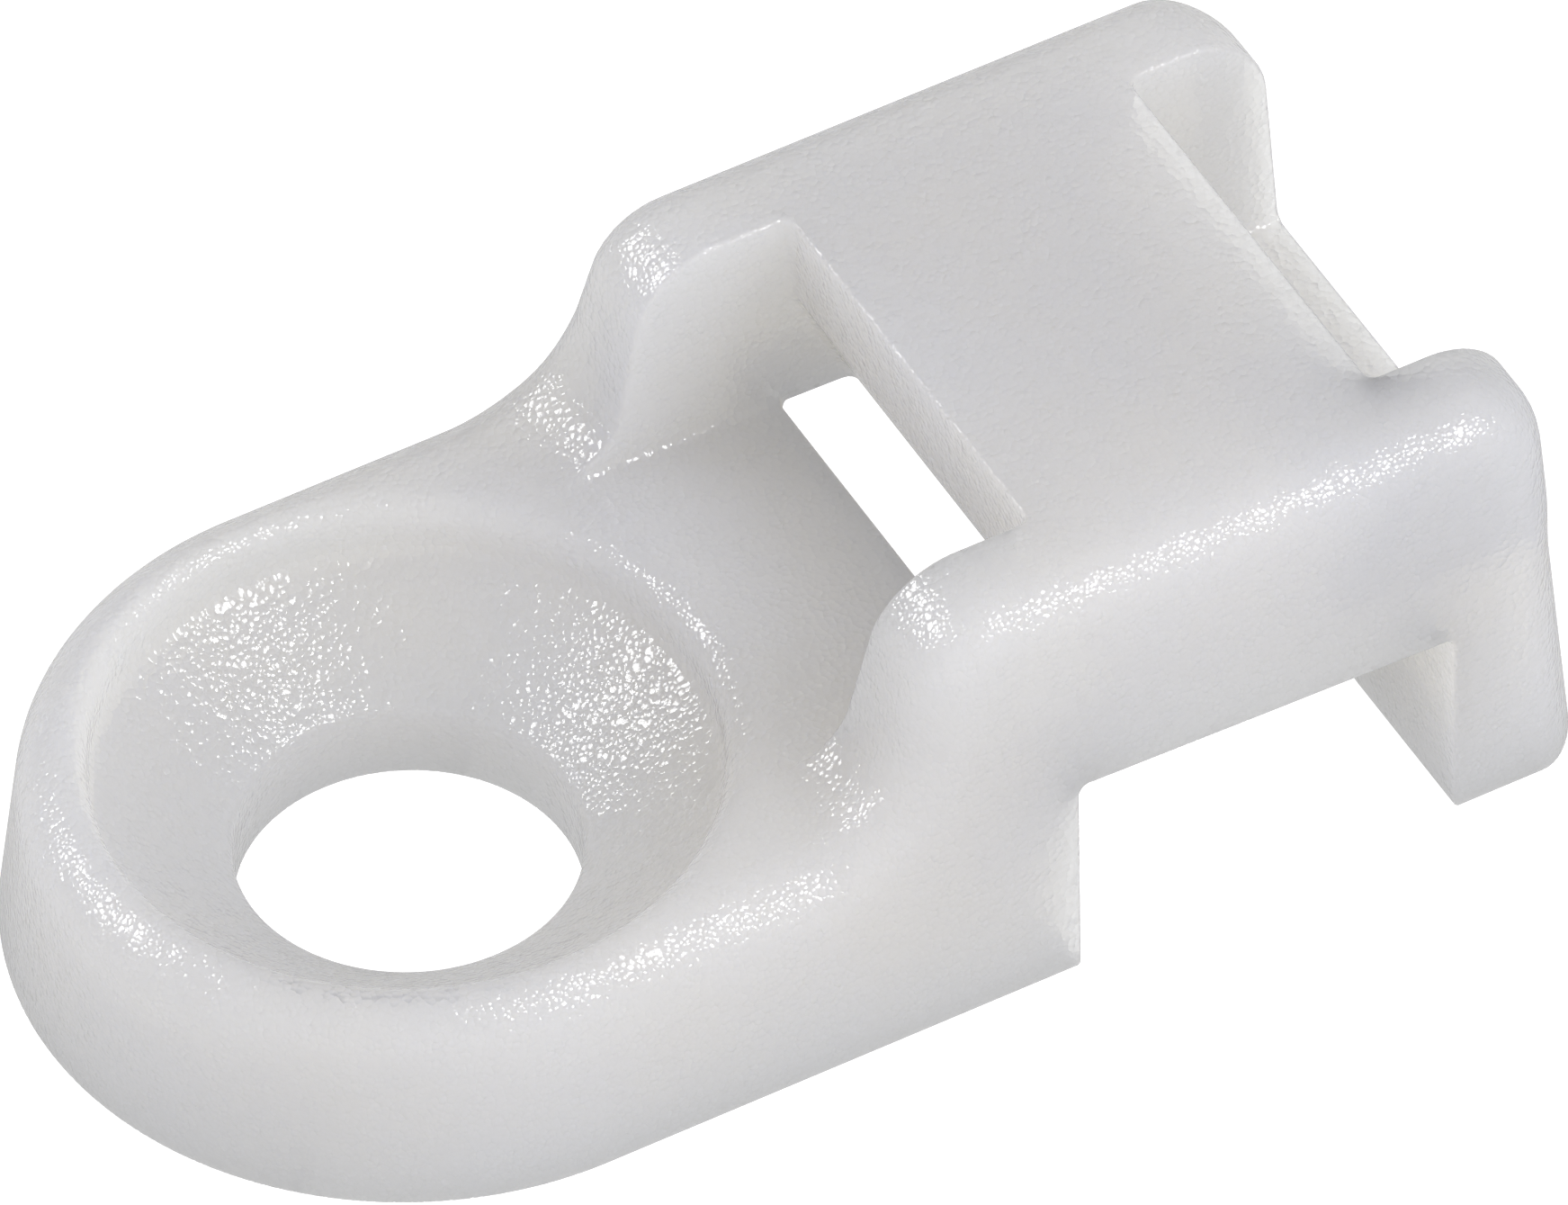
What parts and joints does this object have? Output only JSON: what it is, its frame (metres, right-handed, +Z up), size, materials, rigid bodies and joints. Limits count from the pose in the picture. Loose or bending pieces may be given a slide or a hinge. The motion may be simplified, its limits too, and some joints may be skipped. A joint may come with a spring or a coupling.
{
  "type": "cable tie mount",
  "caption": "Screw-fixed cable tie mount of natural nylon: a countersunk tongue with a round end, and a bridge between two cheeks over a channel for the tie.",
  "frame": {"origin": "where the axis of the screw hole meets the underside", "axes": "+X from the screw hole towards the bridge and rear leg, +Y across the mount, +Z up from the underside along the screw axis"},
  "size_m": [0.0208, 0.011, 0.0063],
  "materials": {
    "nylon": "satin"
  },
  "bodies": {
    "root": {"tie_mount": "nylon"}
  },
  "joints": []
}
